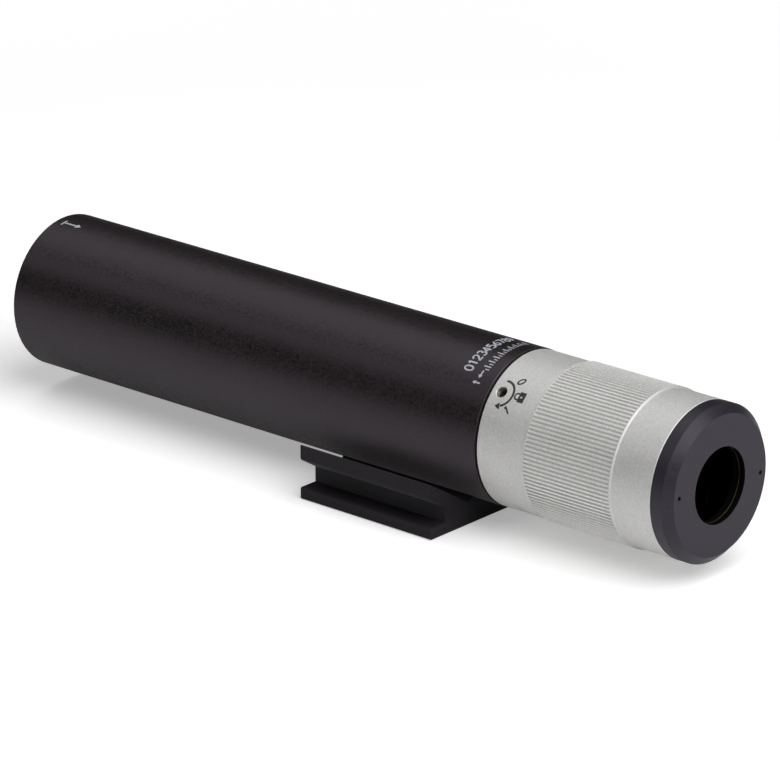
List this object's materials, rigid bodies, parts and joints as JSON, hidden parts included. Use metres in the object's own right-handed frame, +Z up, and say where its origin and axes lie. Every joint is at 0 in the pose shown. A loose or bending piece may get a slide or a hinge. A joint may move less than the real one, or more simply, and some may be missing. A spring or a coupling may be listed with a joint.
{
  "type": "laser beam expander",
  "caption": "Adjustable Galilean laser beam expander: black tube on a grooved clamp foot, with a knurled silver focusing collar, lock screw and bevelled front aperture ring.",
  "frame": {"origin": "middle of the base face of the mounting foot, under the optical axis", "axes": "+X along the optical axis, the way the expanded beam leaves; +Z up from the foot's base"},
  "size_m": [0.2734, 0.0692, 0.0553],
  "materials": {
    "black_anodised": "satin black anodised",
    "foot_anodised": "satin black anodised",
    "ring_anodised": "matt black anodised",
    "inner_black": "matt black anodised",
    "clear_anodised": "satin clear anodised, knurled",
    "brass": "turned",
    "steel": "plain",
    "screw_black": "black oxide",
    "rubber": "matt",
    "coated_glass": "polished, coated"
  },
  "bodies": {
    "barrel": {"main_tube": "black_anodised", "mounting_foot": "foot_anodised", "foot_screws": "screw_black", "input_end_cap": "ring_anodised", "input_lens_cell": "brass", "input_lens": "coated_glass", "input_lens_ring": "inner_black", "input_lock_ring": "inner_black", "key_pin": "steel", "drag_ring": "rubber"},
    "lens_cell": {"output_cell": "inner_black", "output_lens_front": "coated_glass", "output_lens_spacer": "inner_black", "output_lens_rear": "coated_glass", "output_lens_ring": "inner_black"},
    "collar": {"focus_collar": "clear_anodised", "front_ring": "ring_anodised", "cell_capture_ring": "inner_black", "wave_washer": "steel"},
    "pad": {"lock_pad": "brass"},
    "screw": {"lock_screw": "screw_black"}
  },
  "joints": [
    {"name": "focus_slide", "type": "slide", "parent": "barrel", "child": "lens_cell", "axis": [1, 0, 0], "range_m": [-0.0005, 0.0015]},
    {"name": "focus_turn", "type": "hinge", "parent": "lens_cell", "child": "collar", "pos_m": [0.09, 0, 0.0297], "axis": [1, 0, 0], "range_deg": [-180, 540]},
    {"name": "lock_press", "type": "slide", "parent": "collar", "child": "pad", "axis": [0, -0.7071, 0.7071], "range_m": [0, 0.0007938]},
    {"name": "lock_turn", "type": "hinge", "parent": "pad", "child": "screw", "pos_m": [0.04095, -0.0164, 0.04611], "axis": [0, -0.7071, 0.7071], "range_deg": [0, 360]}
  ],
  "couplings": [
    {"joint": "focus_slide", "follows": "focus_turn", "m_per_rad": 0.00015915},
    {"joint": "lock_turn", "follows": "lock_press", "rad_per_m": 7915.3}
  ]
}
